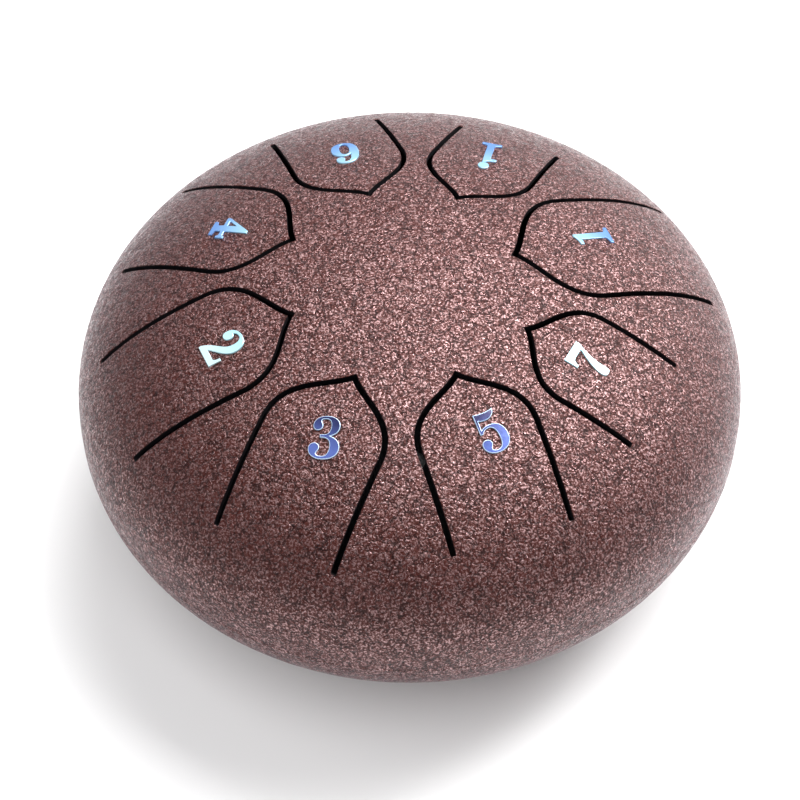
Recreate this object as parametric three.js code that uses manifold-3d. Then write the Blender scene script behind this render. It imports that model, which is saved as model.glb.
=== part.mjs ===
// Small steel tongue drum (handpan family): two pressed domes welded at the seam, eight cut tongues
// with stick-on numerals, a sound hole and three screwed rubber feet underneath.
// Millimetres, +Z up, the feet stand on z = 0, the player sits on the -Y side.
import * as THREE from 'three';
import { mergeVertices } from 'three/addons/utils/BufferGeometryUtils.js';
import Module from 'manifold-3d';

const wasm = await Module();
wasm.setup();

// ---- driving dimensions ----
const R = 77.5;                // outer radius at the seam
const SEAM_Z = 36;             // height of the seam above the floor
const TOP_H = 40;              // rise of the upper dome
const TOP_P = 2.0;             // upper dome: (r/R)^P + (z/H)^Q = 1
const TOP_Q = 2.6;
const LOW_H = 34;              // depth of the lower dome
const LOW_P = 2.5;
const LOW_Q = 2.0;
const WALL = 1.5;              // sheet thickness
const GAP = 0.3;               // working gap wherever two pieces meet
const SIDES = 72;              // facets round the drum
const SEAM_HALF = 0.7;         // half height of the groove the weld fills
const LIP_OUT = 75.5;          // lower shell's lip, standing inside the upper shell
const LIP_IN = 74.2;
const LIP_H = 5;
const SOUND_HOLE_R = 4;
const SLOT = 1.25;             // width of the cut round each tongue
const PATTERN_Y = -2.2;        // the tongue pattern's centre, a touch nearer the player
const STICKER_LIFT = 0.12;
const STICKER_T = 0.25;
const FOOT_CIRCLE_R = 42;
const FOOT_TOP_R = 8.6;
const FOOT_BASE_R = 7.6;
const FOOT_BLANK_H = 10;
const RECESS_R = 4;
const RECESS_H = 2.6;
const HOLE_R = 1.8;            // clearance hole for the 3 mm screw
const SHANK_R = 1.5;
const SHANK_TOP = 10.4;
const FOOT_ANGLES = [90, 210, 330];

// Tongue: name, axis angle seen from above, tip radius, tip sideways, half width, side offset,
// slot-end radius on the left (+) and right (-) side. All measured to the middle of the cut.
const TONGUES = [
  { name: '5', angle: -67.5, tip: 27.4, tipV: 0.8, half: 12.95, mid: 0.6, rootL: 62.0, rootR: 62.0 },
  { name: '7', angle: -22.5, tip: 28.6, tipV: -1.0, half: 12.1, mid: -1.0, rootL: 59.3, rootR: 58.2 },
  { name: '1', angle: 22.5, tip: 24.6, tipV: -0.6, half: 15.1, mid: -0.4, rootL: 69.8, rootR: 68.5 },
  { name: 'high_1', angle: 67.5, tip: 27.6, tipV: 0.9, half: 12.6, mid: 0.9, rootL: 57.9, rootR: 58.3 },
  { name: '6', angle: 112.5, tip: 28.1, tipV: -0.3, half: 13.25, mid: 0.2, rootL: 62.1, rootR: 61.6 },
  { name: '4', angle: 157.5, tip: 29.0, tipV: -0.3, half: 13.9, mid: -0.4, rootL: 67.5, rootR: 67.4 },
  { name: '2', angle: 202.5, tip: 27.1, tipV: 0.2, half: 14.25, mid: -0.4, rootL: 67.6, rootR: 68.2 },
  { name: '3', angle: 247.5, tip: 28.6, tipV: 0.9, half: 13.6, mid: 0.4, rootL: 65.4, rootR: 65.4 },
];

// Numeral: centre along the tongue, centre sideways, turn from upright (degrees, anticlockwise).
const NUMERALS = {
  1: { u: 44.6, v: 1.9, turn: 1 },
  2: { u: 42.9, v: 1.3, turn: 6 },
  3: { u: 43.1, v: 1.4, turn: 18 },
  4: { u: 45.0, v: 0.3, turn: 5 },
  5: { u: 41.7, v: 3.2, turn: 6 },
  6: { u: 46.0, v: -0.3, turn: -8 },
  7: { u: 43.2, v: -1.4, turn: -3 },
  high_1: { u: 48.0, v: 1.9, turn: 13 },
};
const DOT_R = 1.3;
const DOT_UP = 6.1;            // dot centre above the numeral's centre

// Serif numerals 9.2 mm tall, centred on 0,0. A second outline in a list is a counter.
const GLYPHS = {
  1: ['M .9 4.6 L 1 -3.1 C 1.2 -3.5 1.8 -3.7 2.4 -3.8 L 2.4 -4.6 L -2.4 -4.6 L -2.4 -3.8'
    + ' C -1.8 -3.7 -1 -3.5 -.8 -3.1 L -.8 2.9 C -1.2 2.8 -1.8 2.8 -2.3 2.9 L -2.3 3.7'
    + ' C -1.2 3.8 -.2 4.1 .3 4.6'],
  2: ['M -3 1.9 C -3.1 3.6 -1.6 4.6 .1 4.6 C 1.9 4.6 3 3.5 3 1.9 C 3 .3 1.7 -.9 .3 -2'
    + ' C -.5 -2.6 -.9 -2.9 -1.1 -3.2 L 1.5 -3.2 C 2.1 -3.2 2.3 -2.7 2.4 -1.7 L 3.1 -1.7'
    + ' L 2.9 -4.6 L -3.1 -4.6 L -3.1 -4 C -2.5 -2.6 -1.4 -1.6 -.2 -.4 C .7 .5 1 1.2 1 2.2'
    + ' C 1 3.2 .5 3.9 -.3 3.9 C -1 3.9 -1.5 3.6 -1.6 3.1 C -.9 3 -.6 2.4 -.7 1.9'
    + ' C -.8 1.2 -1.3 .8 -1.9 .8 C -2.6 .8 -3 1.3 -3 1.9'],
  3: ['M -2.9 2.6 C -2.8 3.9 -1.5 4.6 -.1 4.6 C 1.7 4.6 2.8 3.8 2.8 2.4 C 2.8 1.3 2.1 .6 1 .3'
    + ' C 2.4 0 3.2 -.9 3.2 -2.1 C 3.2 -3.7 1.9 -4.6 -.2 -4.6 C -2.1 -4.6 -3.3 -3.7 -3.3 -2.4'
    + ' C -3.3 -1.7 -2.8 -1.2 -2.1 -1.2 C -1.5 -1.2 -1 -1.6 -1 -2.2 C -1 -2.8 -1.5 -3 -1.5 -3.4'
    + ' C -1.5 -3.7 -1.1 -3.9 -.4 -3.9 C .6 -3.9 1.1 -3.2 1.1 -2 C 1.1 -.7 .5 -.1 -.6 -.1'
    + ' L -1.2 -.1 L -1.2 .6 L -.6 .6 C .5 .6 .9 1.2 .9 2.4 C .9 3.4 .5 3.9 -.3 3.9'
    + ' C -.8 3.9 -1.2 3.8 -1.2 3.5 C -1.2 3.2 -.8 2.9 -.8 2.3 C -.8 1.8 -1.3 1.4 -1.9 1.4'
    + ' C -2.5 1.4 -2.9 1.9 -2.9 2.6'],
  4: ['M 1.1 4.6 L 1.1 -1 L 2.4 -1 L 2.7 -.5 L 3.3 -.5 L 3.3 -2.5 L 2.7 -2.5 L 2.4 -2 L 1.1 -2'
    + ' L 1.1 -3.4 L 2.4 -3.8 L 2.4 -4.6 L -1.9 -4.6 L -1.9 -3.8 L -.8 -3.4 L -.8 -2 L -3.3 -2'
    + ' L -3.3 -1.2 L .3 4.6',
  'M -2.3 -1 L -.8 -1 L -.8 1.4'],
  5: ['M -2.2 4.5 C -1 4.2 .8 4.1 2.4 4.6 C 2.3 3.4 1.4 2.6 0 2.5 C -.6 2.5 -1.2 2.6 -1.6 2.8'
    + ' L -1.8 .9 C -1.2 1.3 -.5 1.5 .3 1.5 C 2.1 1.5 3.2 .3 3.2 -1.5 C 3.2 -3.4 1.9 -4.6 -.1 -4.6'
    + ' C -1.9 -4.6 -3.1 -3.7 -3.1 -2.5 C -3.1 -1.8 -2.6 -1.3 -1.9 -1.3 C -1.3 -1.3 -.8 -1.7 -.8 -2.3'
    + ' C -.8 -2.8 -1.3 -3 -1.3 -3.4 C -1.3 -3.7 -.9 -3.9 -.3 -3.9 C .7 -3.9 1.2 -3.1 1.2 -1.6'
    + ' C 1.2 0 .7 .8 -.2 .8 C -.9 .8 -1.5 .5 -1.8 -.1 L -2.5 -.1'],
  6: ['M .3 4.6 C 1.8 4.6 2.6 3.8 2.6 2.9 C 2.6 2.2 2.1 1.8 1.5 1.8 C .9 1.8 .5 2.2 .5 2.7'
    + ' C .5 3.2 .9 3.4 .9 3.7 C .9 3.85 .7 3.9 .4 3.9 C -.6 3.9 -1.1 2.7 -1.2 .6'
    + ' C -.8 1.1 -.1 1.4 .6 1.4 C 2.2 1.4 3.2 .2 3.2 -1.6 C 3.2 -3.4 2 -4.6 .1 -4.6'
    + ' C -2 -4.6 -3.2 -3 -3.2 -.3 C -3.2 2.7 -1.8 4.6 .3 4.6',
  'M .1 .7 C -.8 .7 -1.1 -.3 -1.1 -1.6 C -1.1 -3 -.8 -3.9 .1 -3.9 C .9 -3.9 1.2 -3 1.2 -1.6'
    + ' C 1.2 -.3 .9 .7 .1 .7'],
  7: ['M -2.9 4.6 L 2.9 4.6 L 2.9 3.6 C 1.9 1.8 1.3 0 1.2 -2 C 1.2 -2.7 1.3 -3.2 1.3 -3.6'
    + ' C 1.3 -4.2 .9 -4.6 .2 -4.6 C -.5 -4.6 -.9 -4.2 -.9 -3.4 C -.9 -1.6 .2 .6 1.7 2.8'
    + ' L -1 2.8 C -1.7 2.8 -2.1 2.2 -2.2 1.4 L -2.9 1.4'],
};

// ---- solids ----
function solid(geometry) {
  geometry.deleteAttribute('normal');
  geometry.deleteAttribute('uv');
  const merged = mergeVertices(geometry, 1e-4);
  const index = merged.index.array;
  const keep = [];
  for (let i = 0; i < index.length; i += 3) {
    const [a, b, c] = [index[i], index[i + 1], index[i + 2]];
    if (a !== b && b !== c && c !== a) keep.push(a, b, c);
  }
  const make = (list) => new wasm.Manifold(new wasm.Mesh({
    numProp: 3,
    vertProperties: new Float32Array(merged.attributes.position.array),
    triVerts: new Uint32Array(list),
  }));
  const body = make(keep);
  if (body.volume() > 0) return body;
  const flipped = [];
  for (let i = 0; i < keep.length; i += 3) flipped.push(keep[i], keep[i + 2], keep[i + 1]);
  return make(flipped);
}

function turned(profile, sides = SIDES) {
  const points = profile.map(([r, z]) => new THREE.Vector2(r, z));
  const geometry = new THREE.LatheGeometry(points, sides);
  geometry.rotateX(Math.PI / 2);
  return solid(geometry);
}

function ring(profile, sides = SIDES) {
  return turned([...profile, profile[0]], sides);
}

function prism(outline, low, high, holes = []) {
  const shape = new THREE.Shape(outline.map(([x, y]) => new THREE.Vector2(x, y)));
  for (const hole of holes) {
    shape.holes.push(new THREE.Path(hole.map(([x, y]) => new THREE.Vector2(x, y))));
  }
  const geometry = new THREE.ExtrudeGeometry(shape, { depth: high - low, bevelEnabled: false });
  geometry.translate(0, 0, low);
  return solid(geometry);
}

// ---- dome profiles ----
const STATIONS = [0, 12, 23, 33, 42, 50, 57, 63.5, 69.5, 75, 80, 84, 87];

function domePoint(degrees, height, p, q) {
  const t = THREE.MathUtils.degToRad(degrees);
  return [R * Math.sin(t) ** (2 / p), height * Math.cos(t) ** (2 / q)];
}

function offsetDome(offset, height, p, q) {
  const step = 0.05;
  return STATIONS.map((degrees) => {
    const [r, z] = domePoint(degrees, height, p, q);
    if (degrees === 0) return [0, z + offset];
    const [r0, z0] = domePoint(degrees - step, height, p, q);
    const [r1, z1] = domePoint(degrees + step, height, p, q);
    const length = Math.hypot(r1 - r0, z1 - z0);
    return [r + (offset * (z0 - z1)) / length, z + (offset * (r1 - r0)) / length];
  });
}

const topProfile = (offset) => offsetDome(offset, TOP_H, TOP_P, TOP_Q)
  .map(([r, z]) => [r, SEAM_Z + z]);
const lowProfile = (offset) => offsetDome(offset, LOW_H, LOW_P, LOW_Q)
  .map(([r, z]) => [r, SEAM_Z - z]);

// ---- tongue outlines ----
function cubic(a, b, c, d, steps) {
  const points = [];
  for (let i = 1; i <= steps; i += 1) {
    const t = i / steps;
    const s = 1 - t;
    points.push([0, 1].map((k) => s * s * s * a[k] + 3 * s * s * t * b[k]
      + 3 * s * t * t * c[k] + t * t * t * d[k]));
  }
  return points;
}

// Middle of the cut on one side, from the pointed tip out to the slot end, in tongue axes.
function cutSide(tongue, side) {
  const k = tongue.half / 14;
  const reach = tongue.half * side + tongue.mid - tongue.tipV;
  const tip = [tongue.tip, tongue.tipV];
  const steer = [tongue.tip + 4.6 * k, tongue.tipV + reach * 0.31];
  const shoulder = [tongue.tip + 5.8 * k, tongue.tipV + reach];
  const corner = [tongue.tip + 15.5 * k, tongue.tipV + reach];
  const end = [side > 0 ? tongue.rootL : tongue.rootR, tongue.tipV + reach];
  return [tip, ...cubic(tip, steer, shoulder, corner, 9), end];
}

function cutOutline(tongue) {
  const left = cutSide(tongue, 1).reverse();
  const right = cutSide(tongue, -1).slice(1);
  return [...left, ...right];
}

// Moves an open polyline sideways with mitred corners; a positive distance moves it outward here.
function offsetLine(line, distance) {
  const normal = (a, b) => {
    const length = Math.hypot(b[0] - a[0], b[1] - a[1]);
    return [-(b[1] - a[1]) / length, (b[0] - a[0]) / length];
  };
  return line.map((point, i) => {
    const n0 = normal(line[Math.max(i - 1, 0)], line[Math.max(i, 1)]);
    const n1 = normal(line[Math.min(i, line.length - 2)], line[Math.min(i + 1, line.length - 1)]);
    const mid = [n0[0] + n1[0], n0[1] + n1[1]];
    const scale = (2 * distance) / (mid[0] ** 2 + mid[1] ** 2);
    return [point[0] - mid[0] * scale, point[1] - mid[1] * scale];
  });
}

function place(points, angle) {
  const a = THREE.MathUtils.degToRad(angle);
  return points.map(([u, v]) => [
    u * Math.cos(a) - v * Math.sin(a),
    PATTERN_Y + u * Math.sin(a) + v * Math.cos(a),
  ]);
}

function tongueOutline(tongue) {
  return place(offsetLine(cutOutline(tongue), -SLOT / 2), tongue.angle);
}

function windowOutline(tongue) {
  const line = offsetLine(cutOutline(tongue), SLOT / 2);
  line[0][0] += GAP;
  line[line.length - 1][0] += GAP;
  return place(line, tongue.angle);
}

// ---- numerals ----
function tracePath(text, steps = 3) {
  const words = text.split(' ');
  const read = (i) => [Number(words[i]), Number(words[i + 1])];
  const points = [];
  let i = 0;
  while (i < words.length) {
    const last = points[points.length - 1];
    if (words[i] === 'C') {
      points.push(...cubic(last, read(i + 1), read(i + 3), read(i + 5), steps));
      i += 7;
    } else {
      points.push(read(i + 1));
      i += 3;
    }
  }
  const [first, last] = [points[0], points[points.length - 1]];
  if (Math.hypot(first[0] - last[0], first[1] - last[1]) < 1e-6) points.pop();
  return points;
}

function circlePath(x, y, r, sides) {
  return Array.from({ length: sides }, (_, i) => {
    const a = (2 * Math.PI * i) / sides;
    return [x + r * Math.cos(a), y + r * Math.sin(a)];
  });
}

// A numeral's top points at the drum's centre.
function onTongue(points, numeral, angle) {
  const t = THREE.MathUtils.degToRad(numeral.turn);
  const up = [-Math.cos(t), -Math.sin(t)];
  const right = [up[1], -up[0]];
  return place(points.map(([x, y]) => [
    numeral.u + x * right[0] + y * up[0],
    numeral.v + x * right[1] + y * up[1],
  ]), angle);
}

// ---- materials and parts ----
const drum = new THREE.Group();
drum.name = 'steel_tongue_drum';

function add(name, body, colour, roughness, metalness) {
  const mesh = body.getMesh();
  const geometry = new THREE.BufferGeometry();
  geometry.setAttribute('position', new THREE.BufferAttribute(new Float32Array(mesh.vertProperties), 3));
  geometry.setIndex(new THREE.BufferAttribute(new Uint32Array(mesh.triVerts), 1));
  const flat = geometry.toNonIndexed();
  flat.computeVertexNormals();
  const material = new THREE.MeshStandardMaterial({ color: colour, roughness, metalness });
  material.name = name;
  const part = new THREE.Mesh(flat, material);
  part.name = name;
  drum.add(part);
}

const powderCoat = (name, body) => add(name, body, 0x7c5a52, 0.48, 0.55);
const rubber = (name, body) => add(name, body, 0x18181a, 0.85, 0);
const steel = (name, body) => add(name, body, 0xb9bcc0, 0.3, 0.95);
const foil = (name, body) => add(name, body, 0x8fc4ee, 0.18, 0.8);

// Upper shell with eight tongue windows
const topSheet = turned([
  ...topProfile(0),
  [R, SEAM_Z + SEAM_HALF],
  [R - WALL, SEAM_Z + SEAM_HALF],
  ...topProfile(-WALL).reverse(),
]);
let topShell = topSheet;
for (const tongue of TONGUES) {
  const cutter = prism(windowOutline(tongue), SEAM_Z + 2, SEAM_Z + TOP_H + 5);
  topShell = topShell.subtract(cutter);
}
powderCoat('top_shell', topShell);

for (const tongue of TONGUES) {
  const blank = prism(tongueOutline(tongue), SEAM_Z + 2, SEAM_Z + TOP_H + 5);
  powderCoat(`tongue_${tongue.name}`, topSheet.intersect(blank));
}

// Numerals, thin foil lying just above the tongue
const foilSheet = turned([
  ...topProfile(STICKER_LIFT + STICKER_T),
  ...topProfile(STICKER_LIFT).reverse(),
]);
for (const tongue of TONGUES) {
  const numeral = NUMERALS[tongue.name];
  const digit = tongue.name === 'high_1' ? '1' : tongue.name;
  const [outline, ...counters] = GLYPHS[digit].map((path) => (
    onTongue(tracePath(path), numeral, tongue.angle)));
  const glyph = prism(outline, SEAM_Z + 10, SEAM_Z + TOP_H + 5, counters);
  foil(`number_${tongue.name}`, foilSheet.intersect(glyph));
  if (tongue.name === 'high_1') {
    const dot = onTongue(circlePath(0.3, DOT_UP, DOT_R, 18), numeral, tongue.angle);
    foil('number_high_1_dot', foilSheet.intersect(prism(dot, SEAM_Z + 10, SEAM_Z + TOP_H + 5)));
  }
}

// Weld bead filling the groove between the shells
powderCoat('seam_weld', ring([
  [R - 1.3, SEAM_Z - SEAM_HALF + GAP],
  [R - 0.15, SEAM_Z - SEAM_HALF + GAP],
  [R, SEAM_Z],
  [R - 0.15, SEAM_Z + SEAM_HALF - GAP],
  [R - 1.3, SEAM_Z + SEAM_HALF - GAP],
]));

// Lower shell with its lip, sound hole and screw holes
const holeEdge = (profile) => profile.filter(([r]) => r > SOUND_HOLE_R + 1);
const holeZ = SEAM_Z - LOW_H * (1 - (SOUND_HOLE_R / R) ** LOW_P) ** (1 / LOW_Q);
let lowShell = ring([
  [SOUND_HOLE_R, holeZ],
  ...holeEdge(lowProfile(0)),
  [R, SEAM_Z - SEAM_HALF],
  [LIP_OUT, SEAM_Z - SEAM_HALF],
  [LIP_OUT, SEAM_Z + LIP_H],
  [LIP_IN, SEAM_Z + LIP_H],
  [LIP_IN, SEAM_Z - 3],
  ...holeEdge(lowProfile(-WALL)).reverse().filter(([, z]) => z < SEAM_Z - 4.5),
  [SOUND_HOLE_R, holeZ + WALL],
]);
const footCentres = FOOT_ANGLES.map((degrees) => {
  const a = THREE.MathUtils.degToRad(degrees);
  return [FOOT_CIRCLE_R * Math.cos(a), FOOT_CIRCLE_R * Math.sin(a)];
});
for (const [x, y] of footCentres) {
  lowShell = lowShell.subtract(prism(circlePath(x, y, HOLE_R, 20), 2, 15));
}
powderCoat('bottom_shell', lowShell);

// Feet, washers and screws
const footBlank = turned([
  [0, 0], [FOOT_BASE_R - 0.8, 0], [FOOT_BASE_R, 0.8], [FOOT_TOP_R, FOOT_BLANK_H], [0, FOOT_BLANK_H],
], 32);
const underDome = turned([
  ...lowProfile(GAP),
  [0, SEAM_Z],
]);
const washer = ring([[HOLE_R, 1.7], [3.7, 1.7], [3.7, 2.3], [HOLE_R, 2.3]], 24);
const screwBlank = turned([
  [0, 0.3], [1.8, 0.3], [2.7, 0.6], [3, 1.0], [3, 1.4], [SHANK_R, 1.4],
  [SHANK_R, SHANK_TOP - 0.8], [0.8, SHANK_TOP], [0, SHANK_TOP],
], 24);
const drive = prism([[-1.6, -0.3], [1.6, -0.3], [1.6, 0.3], [-1.6, 0.3]], 0, 1.0)
  .add(prism([[-0.3, -1.6], [0.3, -1.6], [0.3, 1.6], [-0.3, 1.6]], 0, 1.0));
const screw = screwBlank.subtract(drive);
footCentres.forEach(([x, y], i) => {
  const n = i + 1;
  const bore = prism(circlePath(x, y, HOLE_R, 20), -1, 20);
  const recess = prism(circlePath(x, y, RECESS_R, 28), -1, RECESS_H);
  const foot = footBlank.translate([x, y, 0]).subtract(underDome).subtract(bore).subtract(recess);
  rubber(`rubber_foot_${n}`, foot);
  steel(`foot_washer_${n}`, washer.translate([x, y, 0]));
  steel(`foot_screw_${n}`, screw.translate([x, y, 0]));
});

export default drum;
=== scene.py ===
"""Looks for the small steel tongue drum: textured bronze powder coat, foil numerals, rubber feet."""

import math

import bmesh
import bpy
import numpy as np
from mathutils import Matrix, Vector
from mathutils.geometry import delaunay_2d_cdt


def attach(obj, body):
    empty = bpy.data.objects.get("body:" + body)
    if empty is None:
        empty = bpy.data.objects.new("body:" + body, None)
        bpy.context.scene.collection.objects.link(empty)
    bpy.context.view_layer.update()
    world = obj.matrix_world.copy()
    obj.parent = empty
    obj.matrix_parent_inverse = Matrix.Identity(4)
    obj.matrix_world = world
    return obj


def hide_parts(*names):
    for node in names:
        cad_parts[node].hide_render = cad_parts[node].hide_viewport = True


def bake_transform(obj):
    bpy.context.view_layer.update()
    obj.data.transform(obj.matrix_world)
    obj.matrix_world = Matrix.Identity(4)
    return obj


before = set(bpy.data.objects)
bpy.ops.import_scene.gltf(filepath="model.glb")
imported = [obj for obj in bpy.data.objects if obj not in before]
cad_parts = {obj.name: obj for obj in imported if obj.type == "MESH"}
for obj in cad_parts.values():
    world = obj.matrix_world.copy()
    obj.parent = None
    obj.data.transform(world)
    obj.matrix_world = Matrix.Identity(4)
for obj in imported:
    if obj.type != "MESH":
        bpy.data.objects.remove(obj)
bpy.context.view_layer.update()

# ---- dimensions, millimetres ----
MM = 0.001
R = 77.5
SEAM_Z = 36.0
WALL = 1.5
SLOT = 1.25
PATTERN_Y = -2.2
EDGE_ROUND = 0.16
SLOT_CORNER = 0.3
SOUND_HOLE_R = 4.0
FOOT_CIRCLE_R = 42.0
FOOT_ANGLES = (90, 210, 330)
SCREW_HOLE_R = 1.8
STICKER_T = 0.36
STICKER_ROUND = 0.15
SOUND_HOLE_ROUND = 0.4
SCREW_HOLE_ROUND = 0.15
BEVEL_STEPS = (0, 30, 60, 90)
SCREW_TURN = 20
SEAM_BEAD = 0.12
SEAM_BEAD_HALF = 0.75

# ---- mesh spacing: millimetres, degrees of profile angle, or radians on the sheet ----
TOP_SPACING = 1.35
LOW_SPACING = 1.6
ROW_DEGREES = 1.15
RIM_SIDES = 300
TOP_CLEARANCE = 0.006
LOW_CLEARANCE = 0.008

DOMES = {
    "top": {"height": 40.0, "p": 2.0, "q": 2.6, "sign": 1},
    "low": {"height": 34.0, "p": 2.5, "q": 2.0, "sign": -1},
}

# name: axis angle, tip radius, tip sideways, half width, side offset, slot ends left and right
TONGUES = {
    "5": (-67.5, 27.4, 0.8, 12.95, 0.6, 62.0, 62.0),
    "7": (-22.5, 28.6, -1.0, 12.1, -1.0, 59.3, 58.2),
    "1": (22.5, 24.6, -0.6, 15.1, -0.4, 69.8, 68.5),
    "high_1": (67.5, 27.6, 0.9, 12.6, 0.9, 57.9, 58.3),
    "6": (112.5, 28.1, -0.3, 13.25, 0.2, 62.1, 61.6),
    "4": (157.5, 29.0, -0.3, 13.9, -0.4, 67.5, 67.4),
    "2": (202.5, 27.1, 0.2, 14.25, -0.4, 67.6, 68.2),
    "3": (247.5, 28.6, 0.9, 13.6, 0.4, 65.4, 65.4),
}

# name: centre along the tongue, centre sideways, turn in degrees
NUMERALS = {
    "1": (44.6, 1.9, 1),
    "2": (42.9, 1.3, 6),
    "3": (43.1, 1.4, 18),
    "4": (45.0, 0.3, 5),
    "5": (41.7, 3.2, 6),
    "6": (46.0, -0.3, -8),
    "7": (43.2, -1.4, -3),
    "high_1": (48.0, 1.9, 13),
}
DOT_R = 1.3
DOT_UP = 6.1

# radius, height over the floor; None follows the underside of the dome
FOOT_ROWS = [(1.8, None), (1.8, 2.6), (4.0, 2.6), (4.0, 0.45), (4.3, 0.1), (4.7, 0.0), (6.7, 0.0),
             (7.2, 0.14), (7.5, 0.45), (7.65, 0.9), (8.0, 3.0), (8.2, 3.3), (8.2, None)]
WASHER_ROWS = [(1.8, 1.72), (3.6, 1.72), (3.7, 1.82), (3.7, 2.3), (3.6, 2.4), (1.8, 2.4)]
SCREW_HEAD_ROWS = [(0.0, 0.3), (0.9, 0.31), (1.8, 0.38), (2.45, 0.55), (2.85, 0.8), (3.0, 1.1),
                   (3.0, 1.4), (2.9, 1.5), (1.35, 1.5)]
SCREW_TIP_ROWS = [(0.7, 10.4), (0.0, 10.4)]
THREAD_ROWS = [(1.3, 0.0), (1.5, 0.2), (1.5, 0.25), (1.3, 0.45)]
THREAD_PITCH = 0.5
THREAD_FROM = 2.5
THREAD_TO = 9.4
LIP_ROWS = [(74.3, 32.5), (75.3, 32.5), (75.5, 34), (75.5, 40.7), (75.2, 41), (74.5, 41), (74.2, 40.7)]

# Serif numerals 9.2 mm tall, centred on 0,0. A second outline is a counter.
GLYPHS = {
    "1": ["M .9 4.6 L 1 -3.1 C 1.2 -3.5 1.8 -3.7 2.4 -3.8 L 2.4 -4.6 L -2.4 -4.6 L -2.4 -3.8"
          " C -1.8 -3.7 -1 -3.5 -.8 -3.1 L -.8 2.9 C -1.2 2.8 -1.8 2.8 -2.3 2.9 L -2.3 3.7"
          " C -1.2 3.8 -.2 4.1 .3 4.6"],
    "2": ["M -3 1.9 C -3.1 3.6 -1.6 4.6 .1 4.6 C 1.9 4.6 3 3.5 3 1.9 C 3 .3 1.7 -.9 .3 -2"
          " C -.5 -2.6 -.9 -2.9 -1.1 -3.2 L 1.5 -3.2 C 2.1 -3.2 2.3 -2.7 2.4 -1.7 L 3.1 -1.7"
          " L 2.9 -4.6 L -3.1 -4.6 L -3.1 -4 C -2.5 -2.6 -1.4 -1.6 -.2 -.4 C .7 .5 1 1.2 1 2.2"
          " C 1 3.2 .5 3.9 -.3 3.9 C -1 3.9 -1.5 3.6 -1.6 3.1 C -.9 3 -.6 2.4 -.7 1.9"
          " C -.8 1.2 -1.3 .8 -1.9 .8 C -2.6 .8 -3 1.3 -3 1.9"],
    "3": ["M -2.9 2.6 C -2.8 3.9 -1.5 4.6 -.1 4.6 C 1.7 4.6 2.8 3.8 2.8 2.4 C 2.8 1.3 2.1 .6 1 .3"
          " C 2.4 0 3.2 -.9 3.2 -2.1 C 3.2 -3.7 1.9 -4.6 -.2 -4.6 C -2.1 -4.6 -3.3 -3.7 -3.3 -2.4"
          " C -3.3 -1.7 -2.8 -1.2 -2.1 -1.2 C -1.5 -1.2 -1 -1.6 -1 -2.2 C -1 -2.8 -1.5 -3 -1.5 -3.4"
          " C -1.5 -3.7 -1.1 -3.9 -.4 -3.9 C .6 -3.9 1.1 -3.2 1.1 -2 C 1.1 -.7 .5 -.1 -.6 -.1"
          " L -1.2 -.1 L -1.2 .6 L -.6 .6 C .5 .6 .9 1.2 .9 2.4 C .9 3.4 .5 3.9 -.3 3.9"
          " C -.8 3.9 -1.2 3.8 -1.2 3.5 C -1.2 3.2 -.8 2.9 -.8 2.3 C -.8 1.8 -1.3 1.4 -1.9 1.4"
          " C -2.5 1.4 -2.9 1.9 -2.9 2.6"],
    "4": ["M 1.1 4.6 L 1.1 -1 L 2.4 -1 L 2.7 -.5 L 3.3 -.5 L 3.3 -2.5 L 2.7 -2.5 L 2.4 -2 L 1.1 -2"
          " L 1.1 -3.4 L 2.4 -3.8 L 2.4 -4.6 L -1.9 -4.6 L -1.9 -3.8 L -.8 -3.4 L -.8 -2 L -3.3 -2"
          " L -3.3 -1.2 L .3 4.6",
          "M -2.3 -1 L -.8 -1 L -.8 1.4"],
    "5": ["M -2.2 4.5 C -1 4.2 .8 4.1 2.4 4.6 C 2.3 3.4 1.4 2.6 0 2.5 C -.6 2.5 -1.2 2.6 -1.6 2.8"
          " L -1.8 .9 C -1.2 1.3 -.5 1.5 .3 1.5 C 2.1 1.5 3.2 .3 3.2 -1.5 C 3.2 -3.4 1.9 -4.6 -.1 -4.6"
          " C -1.9 -4.6 -3.1 -3.7 -3.1 -2.5 C -3.1 -1.8 -2.6 -1.3 -1.9 -1.3"
          " C -1.3 -1.3 -.8 -1.7 -.8 -2.3 C -.8 -2.8 -1.3 -3 -1.3 -3.4 C -1.3 -3.7 -.9 -3.9 -.3 -3.9"
          " C .7 -3.9 1.2 -3.1 1.2 -1.6 C 1.2 0 .7 .8 -.2 .8 C -.9 .8 -1.5 .5 -1.8 -.1 L -2.5 -.1"],
    "6": ["M .3 4.6 C 1.8 4.6 2.6 3.8 2.6 2.9 C 2.6 2.2 2.1 1.8 1.5 1.8 C .9 1.8 .5 2.2 .5 2.7"
          " C .5 3.2 .9 3.4 .9 3.7 C .9 3.85 .7 3.9 .4 3.9 C -.6 3.9 -1.1 2.7 -1.2 .6"
          " C -.8 1.1 -.1 1.4 .6 1.4 C 2.2 1.4 3.2 .2 3.2 -1.6 C 3.2 -3.4 2 -4.6 .1 -4.6"
          " C -2 -4.6 -3.2 -3 -3.2 -.3 C -3.2 2.7 -1.8 4.6 .3 4.6",
          "M .1 .7 C -.8 .7 -1.1 -.3 -1.1 -1.6 C -1.1 -3 -.8 -3.9 .1 -3.9 C .9 -3.9 1.2 -3 1.2 -1.6"
          " C 1.2 -.3 .9 .7 .1 .7"],
    "7": ["M -2.9 4.6 L 2.9 4.6 L 2.9 3.6 C 1.9 1.8 1.3 0 1.2 -2 C 1.2 -2.7 1.3 -3.2 1.3 -3.6"
          " C 1.3 -4.2 .9 -4.6 .2 -4.6 C -.5 -4.6 -.9 -4.2 -.9 -3.4 C -.9 -1.6 .2 .6 1.7 2.8"
          " L -1 2.8 C -1.7 2.8 -2.1 2.2 -2.2 1.4 L -2.9 1.4"],
}


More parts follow.
